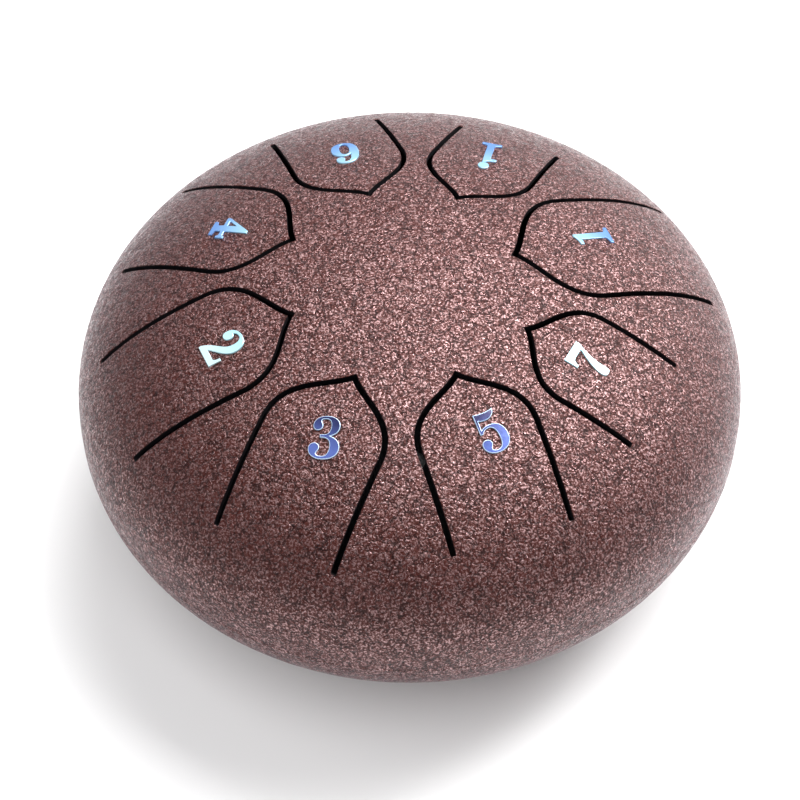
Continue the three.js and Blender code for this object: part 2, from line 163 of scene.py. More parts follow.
# ---- dome surface ----
def profile(dome, t):
    """Radius and height over the seam at profile angle t (radians, 0 at the middle, 90 deg at the seam)."""
    d = DOMES[dome]
    r = R * np.sin(t) ** (2 / d["p"])
    z = d["sign"] * d["height"] * np.maximum(np.cos(t), 0) ** (2 / d["q"])
    return r, z


def profile_normal(dome, t):
    """The outward normal at profile angle t, as radius and height parts."""
    t = np.clip(t, 1e-4, math.pi / 2 - 1e-4)
    r0, z0 = profile(dome, t - 5e-5)
    r1, z1 = profile(dome, t + 5e-5)
    length = np.hypot(r1 - r0, z1 - z0)
    sign = DOMES[dome]["sign"]
    return sign * (z0 - z1) / length, sign * (r1 - r0) / length


def to_sheet(dome, plan):
    """Plan millimetres to the dome's flat sheet, where the distance from 0,0 is the profile angle."""
    plan = np.asarray(plan, float)
    r = np.maximum(np.hypot(plan[:, 0], plan[:, 1]), 1e-9)
    t = np.arcsin(np.clip(r / R, 0, 1) ** (DOMES[dome]["p"] / 2))
    return plan * (t / r)[:, None]


def on_dome(dome, sheet, offset):
    """Points on the dome, moved along its normal by offset, and the normals."""
    t = np.hypot(sheet[:, 0], sheet[:, 1])
    direction = sheet / np.maximum(t, 1e-9)[:, None]
    r, z = profile(dome, np.minimum(t, math.pi / 2))
    nr, nz = profile_normal(dome, t)
    radius = r + nr * offset
    points = np.column_stack([direction * radius[:, None], SEAM_Z + z + nz * offset])
    normals = np.column_stack([direction * nr[:, None], nz])
    return points, normals


# ---- outlines ----
def cubic(a, b, c, d, steps):
    t = np.linspace(0, 1, steps + 1)[1:, None]
    s = 1 - t
    a, b, c, d = (np.array(p, float) for p in (a, b, c, d))
    return s**3 * a + 3 * s * s * t * b + 3 * s * t * t * c + t**3 * d


def cut_side(tongue, side):
    """Middle of the cut on one side, from the tip out to just short of the slot end."""
    _, tip_u, tip_v, half, mid, end_left, end_right = tongue
    k = half / 14
    reach = half * side + mid - tip_v
    tip = (tip_u, tip_v)
    steer = (tip_u + 4.6 * k, tip_v + reach * 0.31)
    shoulder = (tip_u + 5.8 * k, tip_v + reach)
    corner = (tip_u + 15.5 * k, tip_v + reach)
    end = ((end_left if side > 0 else end_right) - SLOT_CORNER, tip_v + reach)
    curve = cubic(tip, steer, shoulder, corner, 22)
    straight = line_points(corner, end, 1.1)
    return np.vstack([[tip], curve, straight])


def line_points(a, b, spacing):
    """Evenly spaced points after a, up to and including b."""
    a, b = np.array(a, float), np.array(b, float)
    count = max(1, round(np.linalg.norm(b - a) / spacing))
    return a + (b - a) * (np.arange(1, count + 1) / count)[:, None]


def cut_outline(tongue):
    return np.vstack([cut_side(tongue, 1)[::-1], cut_side(tongue, -1)[1:]])


def mitre(points, closed):
    """Sideways step at each point, to the left of the way the line runs, one unit clear of it."""
    if closed:
        before, after = np.roll(points, 1, 0), np.roll(points, -1, 0)
    else:
        before = np.vstack([[2 * points[0] - points[1]], points[:-1]])
        after = np.vstack([points[1:], [2 * points[-1] - points[-2]]])
    d0, d1 = points - before, after - points
    n0 = np.column_stack([-d0[:, 1], d0[:, 0]]) / np.linalg.norm(d0, axis=1)[:, None]
    n1 = np.column_stack([-d1[:, 1], d1[:, 0]]) / np.linalg.norm(d1, axis=1)[:, None]
    mid = n0 + n1
    return 2 * mid / np.maximum((mid**2).sum(1), 0.5)[:, None]


def place(points, angle):
    """From a tongue's own axes to the drum's."""
    a = math.radians(angle)
    turn = np.array([[math.cos(a), math.sin(a)], [-math.sin(a), math.cos(a)]])
    return np.asarray(points) @ turn + (0, PATTERN_Y)


def slot_end(u, v, side):
    """Rounded slot end from the tongue's side to the shell's side, and how rounded its edge is."""
    h, c = SLOT / 2, SLOT_CORNER
    n = c * 0.3
    steps = [(-c, -h), (-n, -h + n), (0, -h + c), (0, h - c), (-n, h - n)]
    weights = [0, 0.6, 1, 1, 1]
    return np.array([(u + a, v + b * side) for a, b in steps]), np.array(weights)


def window_loop(tongue):
    """Closed edge of the shell round one tongue, and the rounding weight of each point."""
    line = cut_outline(tongue)
    outer = line - mitre(line, False) * (SLOT / 2)
    end_left, end_right = tongue[5:]
    left, left_w = slot_end(end_left, line[0][1], 1)
    right, right_w = slot_end(end_right, line[-1][1], -1)
    root = line_points(right[0], left[0], 1.0)[:-1]
    loop = np.vstack([left, outer, right[::-1], root])
    weights = np.concatenate([left_w, np.ones(len(outer)), right_w[::-1], np.zeros(len(root))])
    return loop, weights


def tongue_loop(tongue):
    """Closed edge of one tongue, and the rounding weight of each point."""
    line = cut_outline(tongue)
    inner = line + mitre(line, False) * (SLOT / 2)
    root = line_points(inner[-1], inner[0], 1.0)[:-1]
    weights = np.ones(len(inner))
    weights[[0, -1]] = 0
    weights[[1, -2]] = 0.75
    return np.vstack([inner, root]), np.concatenate([weights, np.zeros(len(root))])


def circle(x, y, r, sides):
    a = np.arange(sides) * 2 * math.pi / sides
    return np.column_stack([x + r * np.cos(a), y + r * np.sin(a)])


def trace(text, steps=8):
    """Points along an outline written with M, L and C."""
    words = text.split()
    number = [float(w) if w not in "MLC" else 0 for w in words]
    points = []
    i = 0
    while i < len(words):
        if words[i] == "C":
            a, b, c = (number[i + k: i + k + 2] for k in (1, 3, 5))
            points += cubic(points[-1], a, b, c, steps).tolist()
            i += 7
        else:
            points.append(number[i + 1: i + 3])
            i += 3
    points = np.array(points)
    if np.linalg.norm(points[0] - points[-1]) < 1e-6:
        points = points[:-1]
    return points


def on_tongue(points, numeral, angle):
    """A glyph's points turned and moved to its place on the tongue at this angle."""
    u, v, turn = numeral
    t = math.radians(turn)
    up = np.array([-math.cos(t), -math.sin(t)])
    right = np.array([up[1], -up[0]])
    local = points[:, :1] * right + points[:, 1:] * up + (u, v)
    return place(local, angle)


def signed_area(loop):
    x, y = loop[:, 0], loop[:, 1]
    return 0.5 * float(np.sum(x * np.roll(y, -1) - np.roll(x, -1) * y))


def inside(points, loop):
    """Which points lie inside a closed loop."""
    result = np.zeros(len(points), bool)
    x, y = points[:, 0], points[:, 1]
    for (x0, y0), (x1, y1) in zip(loop, np.roll(loop, -1, 0)):
        if y0 == y1:
            continue
        crosses = (y0 > y) != (y1 > y)
        result ^= crosses & (x < (x1 - x0) * (y - y0) / (y1 - y0) + x0)
    return result


# ---- curved sheets with rounded edges ----
class Sheet:
    """A closed plate that follows a dome, bounded by loops, with its outer edges rounded over."""

    def __init__(self, dome, low, high):
        self.dome, self.low, self.high = dome, low, high
        self.points, self.drops, self.keys = [], [], {}
        self.faces, self.edges, self.fill_loops = [], [], []
        self.border_faces = 0

    def vertex(self, sheet, drop):
        key = (round(sheet[0], 7), round(sheet[1], 7), round(drop, 5))
        if key not in self.keys:
            self.keys[key] = len(self.points)
            self.points.append((float(sheet[0]), float(sheet[1])))
            self.drops.append(float(drop))
        return self.keys[key]

    def loop(self, plan, weights, rounding, into):
        """Adds one edge loop. into is +1 if material is to the left of the loop's way, -1 if right."""
        step = mitre(plan, True) * into
        rows = []
        for degrees in BEVEL_STEPS:
            a = math.radians(degrees)
            away = rounding * (1 - math.cos(a)) * weights
            drop = rounding * (1 - math.sin(a)) * weights
            flat = to_sheet(self.dome, plan + step * away[:, None])
            rows.append([self.vertex(p, d) for p, d in zip(flat, drop)])
        for near, far in zip(rows, rows[1:]):
            self.strip(near, far, into)
        self.edges.append((rows[0], into))
        self.fill_loops.append(rows[-1])

    def rim(self, sheet_loop):
        """Adds a plain edge without rounding, given on the flat sheet, material to its left."""
        row = [self.vertex(p, 0) for p in sheet_loop]
        self.edges.append((row, 1))
        self.fill_loops.append(row)

    def strip(self, near, far, into):
        for i in range(len(near)):
            j = (i + 1) % len(near)
            quad = [near[i], near[j], far[j], far[i]]
            face = list(dict.fromkeys(quad if into > 0 else quad[::-1]))
            if len(face) > 2:
                self.faces.append(face)
        self.border_faces = len(self.faces)

    def fill(self, inner_points, keep):
        """Fills between the loops, keeping the triangles whose middles keep() accepts."""
        ids, seams = [], []
        for row in self.fill_loops:
            unique = list(dict.fromkeys(row))
            first = len(ids)
            ids += unique
            seams += [(first + i, first + (i + 1) % len(unique)) for i in range(len(unique))]
        ids += [self.vertex(p, 0) for p in inner_points]
        scale = 100.0
        coords = [Vector(self.points[i]) * scale for i in ids]
        verts, _, faces, origin, _, _ = delaunay_2d_cdt(coords, seams, [], 0, 1e-5)
        lookup = [ids[o[0]] if o else self.vertex(v / scale, 0) for v, o in zip(verts, origin)]
        middles = np.array([np.mean([verts[i] for i in f], axis=0) for f in faces]) / scale
        good = keep(middles)
        for face, ok in zip(faces, good):
            if ok:
                self.faces.append([lookup[i] for i in face])

    def object(self, name, material, inside_material=None):
        """The closed mesh. The under face and the walls take the inside material if there is one."""
        sheet = np.array(self.points)
        drops = np.array(self.drops)
        top, normals = on_dome(self.dome, sheet, self.high - drops)
        bottom, _ = on_dome(self.dome, sheet, np.full(len(sheet), self.low))
        count = len(sheet)
        faces = [orient(f, sheet) for f in self.faces]
        if DOMES[self.dome]["sign"] < 0:
            faces = [f[::-1] for f in faces]
        under = [[i + count for i in f[::-1]] for f in faces]
        walls = []
        for row, into in self.edges:
            for i in range(len(row)):
                a, b = row[i], row[(i + 1) % len(row)]
                if a != b:
                    wall = [a, a + count, b + count, b]
                    flip = (into > 0) != (DOMES[self.dome]["sign"] > 0)
                    walls.append(wall[::-1] if flip else wall)
        coords = np.vstack([top, bottom]) * MM
        obj = new_object(name, coords, faces + under + walls, material)
        face_outward(obj.data)
        smooth_exactly(obj, normals, drops, len(faces))
        if inside_material:
            obj.data.materials.append(inside_material)
            for polygon in obj.data.polygons[len(faces):]:
                polygon.material_index = 1
        return obj


def orient(face, sheet):
    """The face wound anticlockwise on the sheet."""
    p = sheet[face]
    return list(face) if signed_area(p) > 0 else list(face)[::-1]


def new_object(name, coords, faces, material):
    mesh = bpy.data.meshes.new(name)
    mesh.from_pydata([tuple(c) for c in coords], [], faces)
    mesh.validate()
    mesh.update()
    mesh.materials.append(material)
    obj = bpy.data.objects.new(name, mesh)
    bpy.context.scene.collection.objects.link(obj)
    return obj


def face_outward(mesh):
    bm = bmesh.new()
    bm.from_mesh(mesh)
    bmesh.ops.recalc_face_normals(bm, faces=bm.faces)
    bm.to_mesh(mesh)
    bm.free()


def smooth_exactly(obj, normals, drops, outer_faces):
    """Smooth shading, with the dome's true normals wherever the sheet's face isn't rounded over."""
    mesh = obj.data
    mesh.polygons.foreach_set("use_smooth", [True] * len(mesh.polygons))
    mesh.set_sharp_from_angle(angle=math.radians(40))
    corner = [n.vector.copy() for n in mesh.corner_normals]
    for polygon in mesh.polygons[:outer_faces]:
        for k in polygon.loop_indices:
            v = mesh.loops[k].vertex_index
            if v < len(drops) and drops[v] < 1e-6:
                corner[k] = Vector(normals[v])
    mesh.normals_split_custom_set(corner)


def ring_points(dome, t_low, t_high, step_mm):
    """Rows of points covering the flat sheet between two profile angles in degrees."""
    points = []
    t = t_low
    while t < t_high:
        r, _ = profile(dome, math.radians(max(t, 0.01)))
        count = max(1, round(2 * math.pi * r / step_mm)) if t > 0 else 1
        a = (np.arange(count) + (0.5 if round(t) % 2 else 0)) * 2 * math.pi / count
        points.append(math.radians(t) * np.column_stack([np.cos(a), np.sin(a)]))
        t += ROW_DEGREES
    return np.vstack(points)


def clear_of(points, loops, distance):
    """Drops points closer than distance (radians on the sheet) to any loop point."""
    keep = np.ones(len(points), bool)
    for loop in loops:
        for p in loop:
            keep &= np.hypot(points[:, 0] - p[0], points[:, 1] - p[1]) > distance
    return points[keep]


# ---- turned pieces ----
def turned(name, rows, sides, material, lift=None, centre=(0, 0)):
    """A closed ring or solid from (radius, height) rows; lift(row, x, y) may move a row's height."""
    a = np.arange(sides) * 2 * math.pi / sides
    coords = []
    for k, (r, z) in enumerate(rows):
        for angle in a:
            x, y = centre[0] + r * math.cos(angle), centre[1] + r * math.sin(angle)
            height = lift(k, x, y) if lift else None
            coords.append((x, y, z if height is None else height))
    faces = []
    n = len(rows)
    for k in range(n):
        for i in range(sides):
            j = (i + 1) % sides
            above = (k + 1) % n * sides
            faces.append([k * sides + i, k * sides + j, above + j, above + i])
    obj = new_object(name, np.array(coords) * MM, faces, material)
    bm = bmesh.new()
    bm.from_mesh(obj.data)
    bmesh.ops.remove_doubles(bm, verts=bm.verts, dist=1e-7)
    bm.to_mesh(obj.data)
    bm.free()
    face_outward(obj.data)
    obj.data.polygons.foreach_set("use_smooth", [True] * len(obj.data.polygons))
    obj.data.set_sharp_from_angle(angle=math.radians(35))
    return obj


# ---- materials ----
class Nodes:
    """Short names for building one procedural material."""

    def __init__(self, name):
        self.material = bpy.data.materials.new(name)
        self.material.use_nodes = True
        self.tree = self.material.node_tree
        self.shader = self.tree.nodes["Principled BSDF"]
        self.place = self.add("ShaderNodeTexCoord").outputs["Object"]

    def add(self, kind, **settings):
        node = self.tree.nodes.new(kind)
        for key, value in settings.items():
            setattr(node, key, value)
        return node

    def link(self, a, b):
        self.tree.links.new(a, b)

    def set(self, **values):
        for key, value in values.items():
            self.shader.inputs[key.replace("_", " ")].default_value = value

    def noise(self, scale, detail=2.0, rough=0.5):
        node = self.add("ShaderNodeTexNoise")
        node.inputs["Scale"].default_value = scale
        node.inputs["Detail"].default_value = detail
        node.inputs["Roughness"].default_value = rough
        self.link(self.place, node.inputs["Vector"])
        return node.outputs["Fac"]

    def cells(self, scale, feature, vector):
        node = self.add("ShaderNodeTexVoronoi", feature=feature)
        node.inputs["Scale"].default_value = scale
        self.link(vector, node.inputs["Vector"])
        return node.outputs["Distance"]

    def ramp(self, value, *stops):
        node = self.add("ShaderNodeValToRGB")
        elements = node.color_ramp.elements
        while len(elements) < len(stops):
            elements.new(0.5)
        for element, (position, colour) in zip(elements, stops):
            element.position = position
            element.color = (*colour, 1)
        self.link(value, node.inputs["Fac"])
        return node.outputs["Color"]

    def math(self, operation, a, b):
        node = self.add("ShaderNodeMath", operation=operation)
        for socket, value in zip(node.inputs, (a, b)):
            if isinstance(value, (int, float)):
                socket.default_value = value
            else:
                self.link(value, socket)
        return node.outputs["Value"]

    def mix(self, factor, a, b, blend="MIX"):
        node = self.add("ShaderNodeMix", data_type="RGBA", blend_type=blend)
        sockets = [node.inputs[0], node.inputs[6], node.inputs[7]]
        for socket, value in zip(sockets, (factor, a, b)):
            if isinstance(value, (int, float)):
                socket.default_value = value
            elif isinstance(value, tuple):
                socket.default_value = (*value, 1)
            else:
                self.link(value, socket)
        return node.outputs[2]

    def wobble(self, scale, amount):
        """The place, pushed about by noise, so that cells lose their straight edges."""
        node = self.add("ShaderNodeTexNoise")
        node.inputs["Scale"].default_value = scale
        self.link(self.place, node.inputs["Vector"])
        centre = self.add("ShaderNodeVectorMath", operation="SUBTRACT")
        self.link(node.outputs["Color"], centre.inputs[0])
        centre.inputs[1].default_value = (0.5, 0.5, 0.5)
        size = self.add("ShaderNodeVectorMath", operation="SCALE")
        self.link(centre.outputs[0], size.inputs[0])
        size.inputs["Scale"].default_value = amount
        total = self.add("ShaderNodeVectorMath", operation="ADD")
        self.link(self.place, total.inputs[0])
        self.link(size.outputs[0], total.inputs[1])
        return total.outputs[0]

    def bump(self, height, strength, distance, normal=None):
        node = self.add("ShaderNodeBump")
        node.inputs["Strength"].default_value = strength
        node.inputs["Distance"].default_value = distance
        self.link(height, node.inputs["Height"])
        if normal is not None:
            self.link(normal, node.inputs["Normal"])
        return node.outputs["Normal"]


def powder_coat():
    """Bronze hammered powder coat: metal flecks in a leather-like grain with fine wrinkles."""
    n = Nodes("powder_coat")
    fleck = n.noise(2100, 3, 0.72)
    clump = n.noise(650, 3, 0.65)
    patch = n.noise(110, 3, 0.6)
    grain = n.cells(1150, "SMOOTH_F1", n.wobble(1100, 0.0006))
    wrinkle = n.cells(430, "DISTANCE_TO_EDGE", n.wobble(560, 0.0036))
    base = n.ramp(fleck, (0.38, (0.026, 0.006, 0.005)), (0.50, (0.090, 0.024, 0.019)),
                  (0.61, (0.52, 0.35, 0.35)))
    tone = n.ramp(patch, (0.3, (0.060, 0.015, 0.011)), (0.7, (0.12, 0.038, 0.032)))
    metal = n.ramp(fleck, (0.48, (0.15, 0.15, 0.15)), (0.58, (0.95, 0.95, 0.95)))
    aged = n.mix(0.18, base, tone)
    # The wrinkle lines are mixed towards near black in the base colour: partly the coat's own dark crackle,
    # partly painted shade in the grooves that the pillow bump sinks.
    crease_shade = n.ramp(wrinkle, (0.0, (0.9, 0.9, 0.9)), (0.085, (0, 0, 0)))
    n.link(n.mix(crease_shade, aged, (0.010, 0.0035, 0.0035)), n.shader.inputs["Base Color"])
    n.link(n.ramp(clump, (0.38, (0.50, 0.50, 0.50)), (0.60, (0.22, 0.22, 0.22))),
           n.shader.inputs["Roughness"])
    n.link(metal, n.shader.inputs["Metallic"])
    n.set(Specular_IOR_Level=0.22, Sheen_Weight=0.03, Sheen_Roughness=0.35,
          Sheen_Tint=(0.50, 0.40, 1.0, 1))
    pillow = n.ramp(wrinkle, (0.0, (0, 0, 0)), (0.10, (0.75, 0.75, 0.75)), (0.4, (1, 1, 1)))
    fine = n.bump(fleck, 0.9, 0.00024)
    leather = n.bump(grain, 0.6, 0.00018, fine)
    n.link(n.bump(pillow, 0.7, 0.00014, leather), n.shader.inputs["Normal"])
    return n.material


def shaded_inside_steel():
    """Uncoated sheet on the inside faces and in the cuts, coloured near black: painted shade for the dark
    inside of the drum and its slots.
    """
    n = Nodes("shaded_inside_steel")
    scale = n.noise(380, 3, 0.6)
    n.link(n.ramp(scale, (0.3, (0.006, 0.006, 0.008)), (0.7, (0.014, 0.013, 0.015))),
           n.shader.inputs["Base Color"])
    n.link(n.ramp(scale, (0.3, (0.55,) * 3), (0.7, (0.75,) * 3)), n.shader.inputs["Roughness"])
    n.set(Metallic=0.4, Specular_IOR_Level=0.25)
    n.link(n.bump(n.noise(1500, 3), 0.2, 0.00008), n.shader.inputs["Normal"])
    return n.material


def foil(name, head, foot, rough, metal):
    """Mirror foil printed with a colour drift from the numeral's head to its foot; each copy's colours also
    hold painted reflection, lighter or darker for where it sits on the dome.
    """
    n = Nodes(name)
    flat = n.add("ShaderNodeVectorMath", operation="MULTIPLY")
    n.link(n.place, flat.inputs[0])
    flat.inputs[1].default_value = (1, 1, 0)
    radius = n.add("ShaderNodeVectorMath", operation="LENGTH")
    n.link(flat.outputs[0], radius.inputs[0])
    span = n.add("ShaderNodeMapRange")
    n.link(radius.outputs["Value"], span.inputs["Value"])
    span.inputs["From Min"].default_value = 0.0395
    span.inputs["From Max"].default_value = 0.0485
    drift = n.math("ADD", span.outputs["Result"], n.math("MULTIPLY", n.noise(420, 2), 0.3))
    n.link(n.ramp(n.math("SUBTRACT", drift, 0.15), (0.1, head), (0.9, foot)),
           n.shader.inputs["Base Color"])
    n.link(n.ramp(n.noise(2500, 2), (0.3, (rough,) * 3), (0.7, (rough + 0.08,) * 3)),
           n.shader.inputs["Roughness"])
    n.set(Metallic=metal, Coat_Weight=0.3, Coat_Roughness=0.05)
    n.link(n.bump(n.noise(700, 2), 0.08, 0.0001), n.shader.inputs["Normal"])
    return n.material


def rubber():
    n = Nodes("foot_rubber")
    grain = n.noise(2200, 3, 0.6)
    n.link(n.ramp(grain, (0.3, (0.010, 0.010, 0.011)), (0.7, (0.024, 0.024, 0.026))),
           n.shader.inputs["Base Color"])
    n.link(n.ramp(n.noise(300, 2), (0.3, (0.62,) * 3), (0.7, (0.8,) * 3)),
           n.shader.inputs["Roughness"])
    n.set(Specular_IOR_Level=0.4)
    n.link(n.bump(grain, 0.25, 0.00015), n.shader.inputs["Normal"])
    return n.material


def plated_steel():
    n = Nodes("screw_steel")
    smudge = n.noise(600, 3, 0.6)
    n.link(n.ramp(smudge, (0.3, (0.42, 0.43, 0.45)), (0.7, (0.62, 0.63, 0.65))),
           n.shader.inputs["Base Color"])
    n.link(n.ramp(smudge, (0.3, (0.22,) * 3), (0.7, (0.36,) * 3)), n.shader.inputs["Roughness"])
    n.set(Metallic=1.0)
    n.link(n.bump(n.noise(4000, 2), 0.15, 0.00005), n.shader.inputs["Normal"])
    return n.material


COAT = powder_coat()
SHADED_INSIDE_STEEL = shaded_inside_steel()
RUBBER = rubber()
STEEL = plated_steel()
# Lit and shaded copies of one mirror foil: the bright copy is painted light, the dark blue copy is painted
# shade standing in for a dark reflection, and the edge copy is a painted highlight on the rounded cut edge.
FOILS = {
    "lit_pale": foil("foil_lit_pale", (0.50, 0.84, 0.93), (0.72, 0.95, 1.0), 0.12, 0.35),
    "sky": foil("foil_sky", (0.46, 0.80, 1.0), (0.22, 0.42, 0.85), 0.12, 0.45),
    "shaded_indigo": foil("foil_shaded_indigo", (0.016, 0.016, 0.07), (0.13, 0.19, 0.55), 0.16, 0.5),
}
FOIL_EDGE_LIT = foil("foil_lit_edge", (0.52, 0.70, 0.92), (0.66, 0.82, 1.0), 0.2, 0.35)
# Numerals 2 and 7 take the copy with painted light, 3 and 5 the copy with painted shade.
FOIL_OF = {"2": "lit_pale", "7": "lit_pale", "3": "shaded_indigo", "5": "shaded_indigo"}


# ---- drum pieces ----
def finish_piece(obj, body, nodes):
    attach(obj, body)
    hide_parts(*nodes)
    return obj


def build_top_shell():
    """The upper dome, with a window for each tongue."""
    sheet = Sheet("top", -WALL, 0.0)
    for tongue in TONGUES.values():
        plan, weights = window_loop(tongue)
        plan = place(plan, tongue[0])
        into = -1 if signed_area(plan) > 0 else 1
        sheet.loop(plan, weights, EDGE_ROUND, into)
    holes = [np.array([sheet.points[i] for i in row]) for row in sheet.fill_loops]
    sheet.rim(circle(0, 0, math.pi / 2, RIM_SIDES))
    fill = ring_points("top", 0, 89, TOP_SPACING)
    close = [math.radians(t) * circle(0, 0, 1, RIM_SIDES) for t in (89.35, 89.7, 89.9)]
    fill = np.vstack([fill] + close)
    for hole in holes:
        fill = fill[~inside(fill, hole)]
    fill = clear_of(fill, holes, TOP_CLEARANCE)

    def keep(middles):
        outside = np.ones(len(middles), bool)
        for hole in holes:
            outside &= ~inside(middles, hole)
        return outside

    sheet.fill(fill, keep)
    obj = sheet.object("shell_top", COAT, SHADED_INSIDE_STEEL)
    return finish_piece(obj, "drum_body", ["top_shell"])


def build_tongue(name, tongue):
    """One tongue plate, cut to the inner side of its slots."""
    sheet = Sheet("top", -WALL, 0.0)
    plan, weights = tongue_loop(tongue)
    plan = place(plan, tongue[0])
    into = 1 if signed_area(plan) > 0 else -1
    sheet.loop(plan, weights, EDGE_ROUND, into)
    edge = np.array([sheet.points[i] for i in sheet.fill_loops[0]])
    fill = ring_points("top", 0, 80, TOP_SPACING)
    fill = fill[inside(fill, edge)]
    fill = clear_of(fill, [edge], TOP_CLEARANCE)
    sheet.fill(fill, lambda middles: inside(middles, edge))
    return sheet.object("plate_" + name, COAT, SHADED_INSIDE_STEEL)


def blend_tongue(obj, name):
    """Bakes the plate's placement into its mesh and hides the tongue's part from model.glb."""
    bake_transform(obj)
    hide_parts("tongue_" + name)


def build_sticker(name, loops, node, body):
    """One foil numeral. The ones in painted shade show a light cut edge, a painted highlight."""
    sheet = Sheet("top", 0.0, STICKER_T)
    outer = loops[0]
    for k, plan in enumerate(loops):
        wanted = 1 if k == 0 else -1
        into = wanted if signed_area(plan) > 0 else -wanted
        sheet.loop(plan, np.ones(len(plan)), STICKER_ROUND, into)
    edges = [np.array([sheet.points[i] for i in row]) for row in sheet.fill_loops]

    def keep(middles):
        good = inside(middles, edges[0])
        for hole in edges[1:]:
            good &= ~inside(middles, hole)
        return good

    sheet.fill(np.zeros((0, 2)), keep)
    digit = name.replace("high_", "").replace("_dot", "")
    foil_name = FOIL_OF.get(digit, "sky")
    obj = sheet.object("foil_" + name, FOILS[foil_name])
    # The copy with painted shade gets the painted highlight on its rounded edge.
    if foil_name == "shaded_indigo":
        obj.data.materials.append(FOIL_EDGE_LIT)
        for polygon in obj.data.polygons[:sheet.border_faces]:
            polygon.material_index = 1
    return finish_piece(obj, body, [node])


def build_numerals():
    for name, numeral in NUMERALS.items():
        angle = TONGUES[name][0]
        body = f"tongue_{name}_body"
        digit = "1" if name == "high_1" else name
        loops = [on_tongue(trace(t), numeral, angle) for t in GLYPHS[digit]]
        build_sticker(name, loops, "number_" + name, body)
        if name == "high_1":
            dot = on_tongue(circle(0.3, DOT_UP, DOT_R, 40), numeral, angle)
            build_sticker("high_1_dot", [dot], "number_high_1_dot", body)


def foot_centres():
    for degrees in FOOT_ANGLES:
        a = math.radians(degrees)
        yield FOOT_CIRCLE_R * math.cos(a), FOOT_CIRCLE_R * math.sin(a)


def build_bottom_shell():
    """The lower dome, with the sound hole and three screw holes."""
    sheet = Sheet("low", -WALL, 0.0)
    sheet.loop(circle(0, 0, SOUND_HOLE_R, 72), np.ones(72), SOUND_HOLE_ROUND, -1)
    for x, y in foot_centres():
        sheet.loop(circle(x, y, SCREW_HOLE_R, 32), np.ones(32), SCREW_HOLE_ROUND, -1)
    holes = [np.array([sheet.points[i] for i in row]) for row in sheet.fill_loops]
    sheet.rim(circle(0, 0, math.pi / 2, RIM_SIDES))
    fill = ring_points("low", 3, 89.5, LOW_SPACING)
    for hole in holes:
        fill = fill[~inside(fill, hole)]
    fill = clear_of(fill, holes, LOW_CLEARANCE)

    def keep(middles):
        outside = np.ones(len(middles), bool)
        for hole in holes:
            outside &= ~inside(middles, hole)
        return outside

    sheet.fill(fill, keep)
    obj = sheet.object("shell_bottom", COAT, SHADED_INSIDE_STEEL)
    return finish_piece(obj, "drum_body", ["bottom_shell"])


def under_dome(x, y):
    """Height of the lower dome's outer face over the floor."""
    r = math.hypot(x, y)
    low = DOMES["low"]
    return SEAM_Z - low["height"] * (1 - (r / R) ** low["p"]) ** (1 / low["q"])


def build_lip_and_seam():
    """The ring inside the seam that locates the domes, and the weld bead outside it."""
    lip = turned("shell_lip", LIP_ROWS, 200, COAT)
    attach(lip, "drum_body")
    bead = []
    for degrees in range(-90, 91, 15):
        a = math.radians(degrees)
        bead.append((R - 0.05 + SEAM_BEAD * math.cos(a), SEAM_Z + SEAM_BEAD_HALF * math.sin(a)))
    bead += [(R - 1.2, SEAM_Z + 0.6), (R - 1.2, SEAM_Z - 0.6)]
    seam = turned("seam_bead", bead, RIM_SIDES, COAT)
    finish_piece(seam, "drum_body", ["seam_weld"])


def build_foot(number, x, y):
    """Rubber foot: stepped recess, rounded base, top following the dome."""
    def lift(k, px, py):
        return under_dome(px, py) if FOOT_ROWS[k][1] is None else None

    foot = turned(f"foot_{number}", FOOT_ROWS, 72, RUBBER, lift, (x, y))
    finish_piece(foot, "drum_body", [f"rubber_foot_{number}"])
    washer = turned(f"washer_{number}", WASHER_ROWS, 64, STEEL, None, (x, y))
    finish_piece(washer, "drum_body", [f"foot_washer_{number}"])
    screw = build_screw(number, x, y)
    finish_piece(screw, "drum_body", [f"foot_screw_{number}"])


def build_screw(number, x, y):
    """Pan head, cross recess and a threaded shank."""
    rows = list(SCREW_HEAD_ROWS)
    z = THREAD_FROM
    while z < THREAD_TO:
        rows += [(r, z + step) for r, step in THREAD_ROWS]
        z += THREAD_PITCH
    rows += SCREW_TIP_ROWS
    screw = turned(f"screw_{number}", rows, 48, STEEL, None, (x, y))
    for turn in (0, 90):
        cut_slot(screw, x, y, turn + SCREW_TURN)
    return screw


def cut_slot(screw, x, y, degrees):
    """Cuts one arm pair of the cross recess with a tapered blade."""
    a = math.radians(degrees)
    along = np.array([math.cos(a), math.sin(a)])
    across = np.array([-math.sin(a), math.cos(a)])
    corners = []
    for z, length, half in ((0.1, 1.75, 0.34), (1.05, 0.9, 0.2)):
        for su, sv in ((-1, -1), (1, -1), (1, 1), (-1, 1)):
            p = np.array([x, y]) + along * length * su + across * half * sv
            corners.append((p[0], p[1], z))
    faces = [[3, 2, 1, 0], [4, 5, 6, 7], [0, 1, 5, 4], [1, 2, 6, 5], [2, 3, 7, 6], [3, 0, 4, 7]]
    blade = new_object("blade", np.array(corners) * MM, faces, STEEL)
    modifier = screw.modifiers.new("cut", "BOOLEAN")
    modifier.operation = "DIFFERENCE"
    modifier.object = blade
    modifier.solver = "EXACT"
    graph = bpy.context.evaluated_depsgraph_get()
    mesh = bpy.data.meshes.new_from_object(screw.evaluated_get(graph))
    screw.modifiers.clear()
    screw.data = mesh
    bpy.data.objects.remove(blade)


build_top_shell()
for tongue_name, tongue_values in TONGUES.items():
    plate = build_tongue(tongue_name, tongue_values)
    blend_tongue(plate, tongue_name)
build_numerals()
build_bottom_shell()
build_lip_and_seam()
for foot_number, (foot_x, foot_y) in enumerate(foot_centres(), 1):
    build_foot(foot_number, foot_x, foot_y)


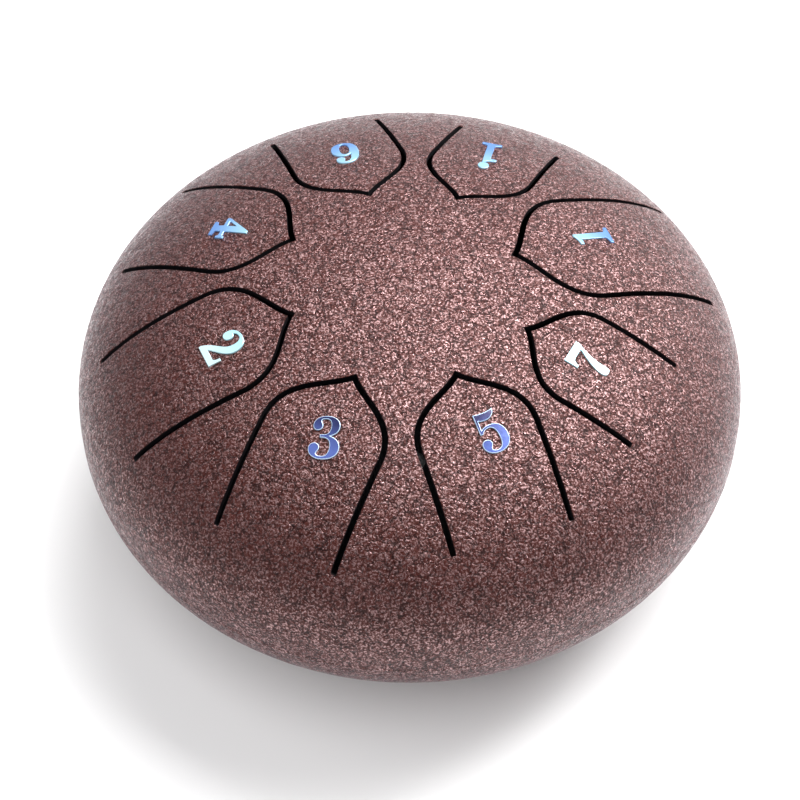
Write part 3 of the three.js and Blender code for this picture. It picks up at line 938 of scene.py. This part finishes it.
# ---- floor, lights, camera ----
def build_floor():
    """A plain white floor, three metres each way."""
    n = Nodes("floor_white")
    n.link(n.ramp(n.noise(3, 2), (0.3, (0.90, 0.90, 0.90)), (0.7, (0.93, 0.93, 0.93))),
           n.shader.inputs["Base Color"])
    n.set(Roughness=0.9, Specular_IOR_Level=0.1)
    corners = [(-3, -3, 0), (3, -3, 0), (3, 3, 0), (-3, 3, 0)]
    mesh = bpy.data.meshes.new("floor")
    mesh.from_pydata(corners, [], [[0, 1, 2, 3]])
    mesh.materials.append(n.material)
    floor = bpy.data.objects.new("floor", mesh)
    bpy.context.scene.collection.objects.link(floor)


def aim(obj, target):
    direction = Vector(target) - obj.location
    obj.rotation_euler = direction.to_track_quat("-Z", "Y").to_euler()


def softbox(name, direction, distance, size, power, reflected=True):
    """An area light aimed at the drum. One that isn't reflected leaves no highlight."""
    light = bpy.data.lights.new(name, "AREA")
    light.shape = "RECTANGLE"
    light.size, light.size_y = size
    light.energy = power
    obj = bpy.data.objects.new(name, light)
    centre = Vector((0, 0, 0.05))
    obj.location = centre + Vector(direction).normalized() * distance
    obj.visible_glossy = reflected
    bpy.context.scene.collection.objects.link(obj)
    aim(obj, centre)


def build_world():
    """A dim studio room, brightest overhead and to the back right."""
    world = bpy.data.worlds.new("studio")
    bpy.context.scene.world = world
    world.use_nodes = True
    tree = world.node_tree
    direction = tree.nodes.new("ShaderNodeTexCoord").outputs["Generated"]
    facing = tree.nodes.new("ShaderNodeVectorMath")
    facing.operation = "DOT_PRODUCT"
    facing.inputs[1].default_value = (0.35, 0.35, 0.87)
    ramp = tree.nodes.new("ShaderNodeValToRGB")
    stops = ((0.0, (0.10, 0.09, 0.12)), (0.45, (0.26, 0.25, 0.28)), (0.95, (0.9, 0.88, 0.9)))
    ramp.color_ramp.elements.new(0.5)
    for element, (position, colour) in zip(ramp.color_ramp.elements, stops):
        element.position = position
        element.color = (*colour, 1)
    background = tree.nodes["Background"]
    tree.links.new(direction, facing.inputs[0])
    tree.links.new(facing.outputs["Value"], ramp.inputs["Fac"])
    tree.links.new(ramp.outputs["Color"], background.inputs["Color"])
    background.inputs["Strength"].default_value = 0.32


def build_camera():
    """A long lens, looking down from the front."""
    azimuth, elevation = math.radians(3), math.radians(51.94)
    distance, lens = 0.403, 76.3
    data = bpy.data.cameras.new("photo_camera")
    data.lens = lens
    data.sensor_width = 36
    data.shift_x = -0.0122
    data.shift_y = -0.0243
    data.clip_start = 0.01
    camera = bpy.data.objects.new("photo_camera", data)
    centre = Vector((0, 0, SEAM_Z * MM))
    flat = math.cos(elevation)
    toward = Vector((math.sin(azimuth) * flat, -math.cos(azimuth) * flat, math.sin(elevation)))
    camera.location = centre + toward * distance
    bpy.context.scene.collection.objects.link(camera)
    aim(camera, centre)
    bpy.context.scene.camera = camera


build_floor()
build_world()
softbox("key", (0.26, 0.42, 0.86), 1.0, (0.85, 0.50), 14.0)
softbox("right_side", (0.68, 0.46, 0.56), 0.95, (0.30, 0.34), 6.0)
softbox("floor_fill", (-0.30, -0.42, 0.86), 1.4, (1.7, 1.7), 21.0, reflected=False)
build_camera()
bpy.context.scene.view_settings.view_transform = "Standard"

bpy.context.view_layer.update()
